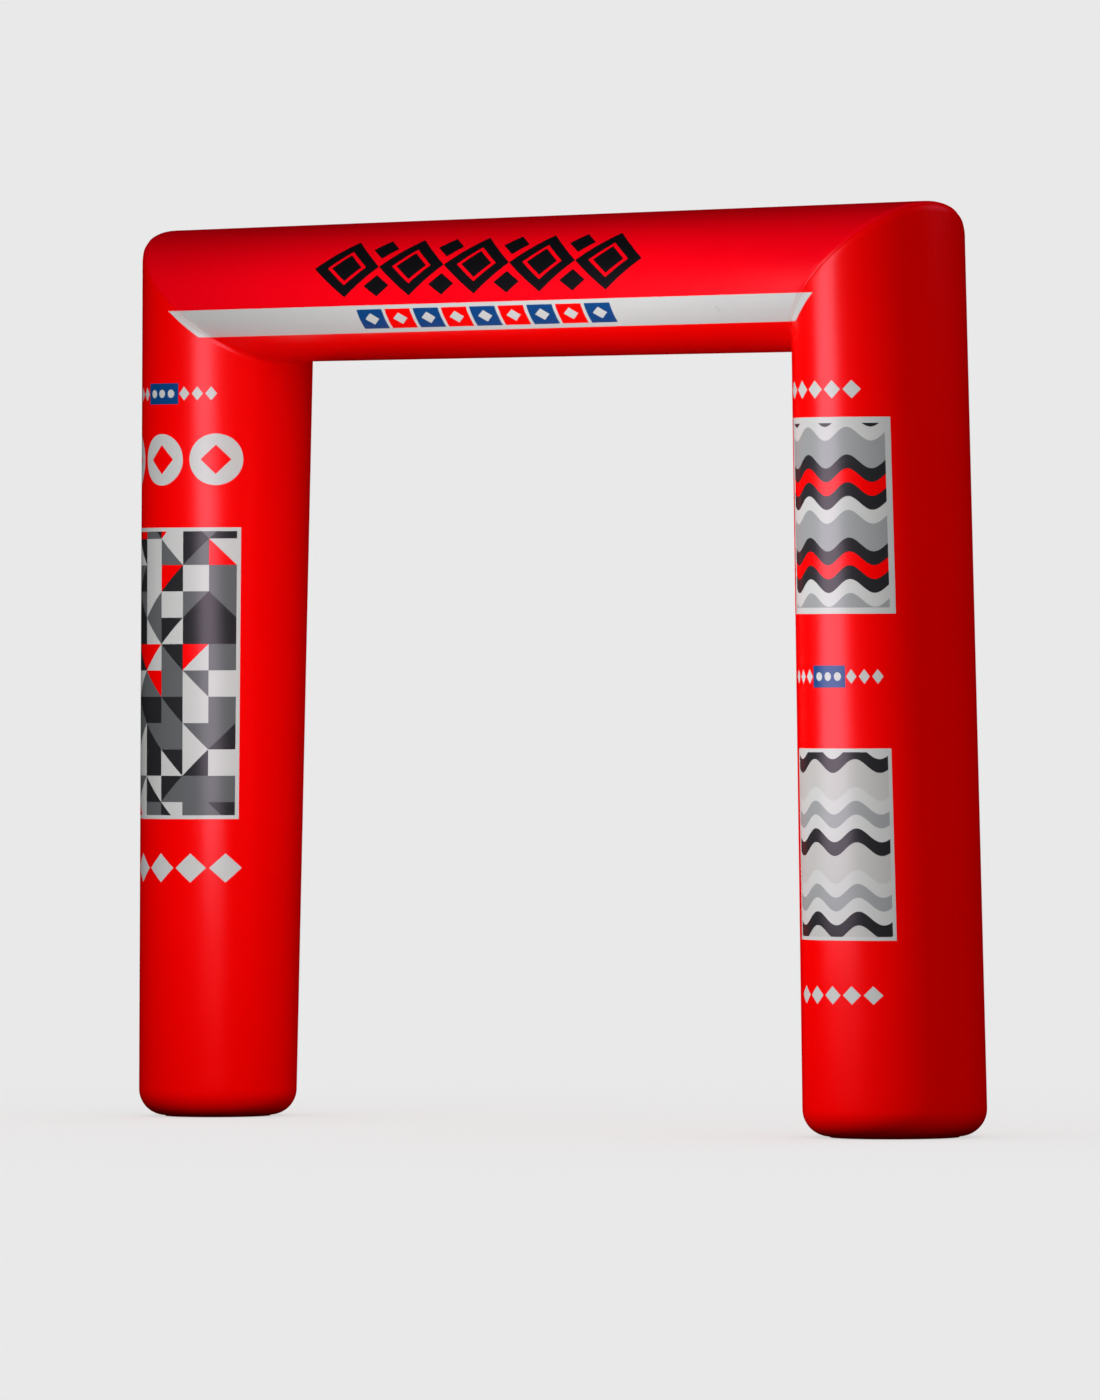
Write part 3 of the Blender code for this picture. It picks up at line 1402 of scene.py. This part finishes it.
def make_sun(name, brightness, width, receivers, tilt=0.0):
    """Light from above, or tilted from there, that makes a white surface facing it as bright as given."""
    sun = bpy.data.lights.new(name, "SUN")
    sun.energy = brightness * math.pi
    sun.angle = width
    made = add_light(name, sun, receivers, False)
    made.rotation_euler.x = tilt


def plain_world(studio):
    """A pale backdrop that only the camera sees."""
    world = bpy.data.worlds.new("studio")
    world.use_nodes = True
    bpy.context.scene.world = world
    world.node_tree.nodes.clear()
    net = Net(world.node_tree)
    camera = net.add("ShaderNodeLightPath").outputs["Is Camera Ray"]
    strength = net.math("MULTIPLY", camera, studio.backdrop)
    seen = net.add("ShaderNodeBackground", {"Color": WHITE_LIGHT, "Strength": strength})
    net.add("ShaderNodeOutputWorld", {"Surface": seen.outputs[0]})


def make_camera(scene, studio):
    """A long lens, turned round from the front."""
    level = math.cos(studio.camera_lift)
    back = Vector(
        (
            math.sin(studio.camera_turn) * level,
            -math.cos(studio.camera_turn) * level,
            math.sin(studio.camera_lift),
        )
    )
    camera = bpy.data.cameras.new("camera")
    camera.sensor_width = 36
    camera.lens = studio.lens
    camera.clip_end = 2 * FLOOR_REACH
    made = bpy.data.objects.new("camera", camera)
    made.rotation_mode = "QUATERNION"
    made.location = Vector(studio.target) + back * studio.camera_reach
    upright = (-back).to_track_quat("-Z", "Y")
    made.rotation_quaternion = upright @ Matrix.Rotation(studio.camera_roll, 3, "Z").to_quaternion()
    scene.collection.objects.link(made)
    scene.camera = made


def make_floor(scene, studio):
    """A floor without an edge, of the backdrop's brightness."""
    mesh = bpy.data.meshes.new("floor")
    corners = [(x * FLOOR_REACH, y * FLOOR_REACH, 0) for x, y in ((-1, -1), (1, -1), (1, 1), (-1, 1))]
    mesh.from_pydata(corners, [], [(0, 1, 2, 3)])
    material, _, shader = new_material("floor")
    shader.inputs["Base Color"].default_value = (FLOOR_WHITE, FLOOR_WHITE, FLOOR_WHITE, 1)
    shader.inputs["Roughness"].default_value = 1.0
    shader.inputs["Specular IOR Level"].default_value = 0.0
    shader.inputs["Emission Color"].default_value = WHITE_LIGHT
    shader.inputs["Emission Strength"].default_value = studio.backdrop * FLOOR_GLOW
    material.cycles.emission_sampling = "NONE"
    mesh.materials.append(material)
    made = bpy.data.objects.new("floor", mesh)
    made.visible_diffuse = False
    made.visible_glossy = False
    made.visible_shadow = False
    scene.collection.objects.link(made)
    return made


class ARCH_OT_stage(bpy.types.Operator):
    """Sets up the camera, the floor and the lights"""

    bl_idname = "arch.stage"
    bl_label = "Stage"

    def execute(self, context):
        scene = context.scene
        studio = scene.arch_studio
        scene.view_settings.view_transform = "Standard"
        plain_world(studio)
        make_camera(scene, studio)
        floor = make_floor(scene, studio)
        only_floor = bpy.data.collections.new("floor_light")
        only_floor.objects.link(floor)
        not_floor = bpy.data.collections.new("arch_light")
        not_floor.objects.link(floor)
        not_floor.collection_objects[0].light_linking.link_state = "EXCLUDE"
        for box in SOFTBOXES:
            make_softbox(box, studio.light, not_floor)
        floor_light = studio.backdrop * (1 - FLOOR_GLOW) / FLOOR_WHITE
        make_sun("ceiling", studio.ceiling, WHOLE_SKY, not_floor)
        make_sun("ground", studio.ground, WHOLE_SKY, not_floor, tilt=math.pi)
        make_sun("floor_sun", floor_light, FLOOR_SUN_WIDTH, only_floor)
        return {"FINISHED"}


# ---------------------------------------------------------------- add-on


class ARCH_PT_dressing(bpy.types.Panel):
    """Lists what dresses the arch"""

    bl_label = "Inflatable arch"
    bl_idname = "ARCH_PT_dressing"
    bl_space_type = "VIEW_3D"
    bl_region_type = "UI"
    bl_category = "Arch"

    def draw(self, context):
        for step in STEPS:
            self.layout.operator(step.bl_idname)


STEPS = (ARCH_OT_stage, ARCH_OT_legs, ARCH_OT_crossbar, ARCH_OT_bases, ARCH_OT_stitching)


def register():
    for name, group in GROUPS:
        bpy.utils.register_class(group)
        setattr(bpy.types.Scene, name, PointerProperty(type=group))
    for step in (*STEPS, ARCH_PT_dressing):
        bpy.utils.register_class(step)


def unregister():
    for step in (ARCH_PT_dressing, *reversed(STEPS)):
        bpy.utils.unregister_class(step)
    for name, group in reversed(GROUPS):
        delattr(bpy.types.Scene, name)
        bpy.utils.unregister_class(group)


def main():
    register()
    make_groups()
    bpy.ops.arch.stage()
    bpy.ops.arch.legs()
    bpy.ops.arch.crossbar()
    bpy.ops.arch.bases()
    bpy.ops.arch.stitching()
    bpy.context.view_layer.update()


if __name__ == "__main__":
    main()
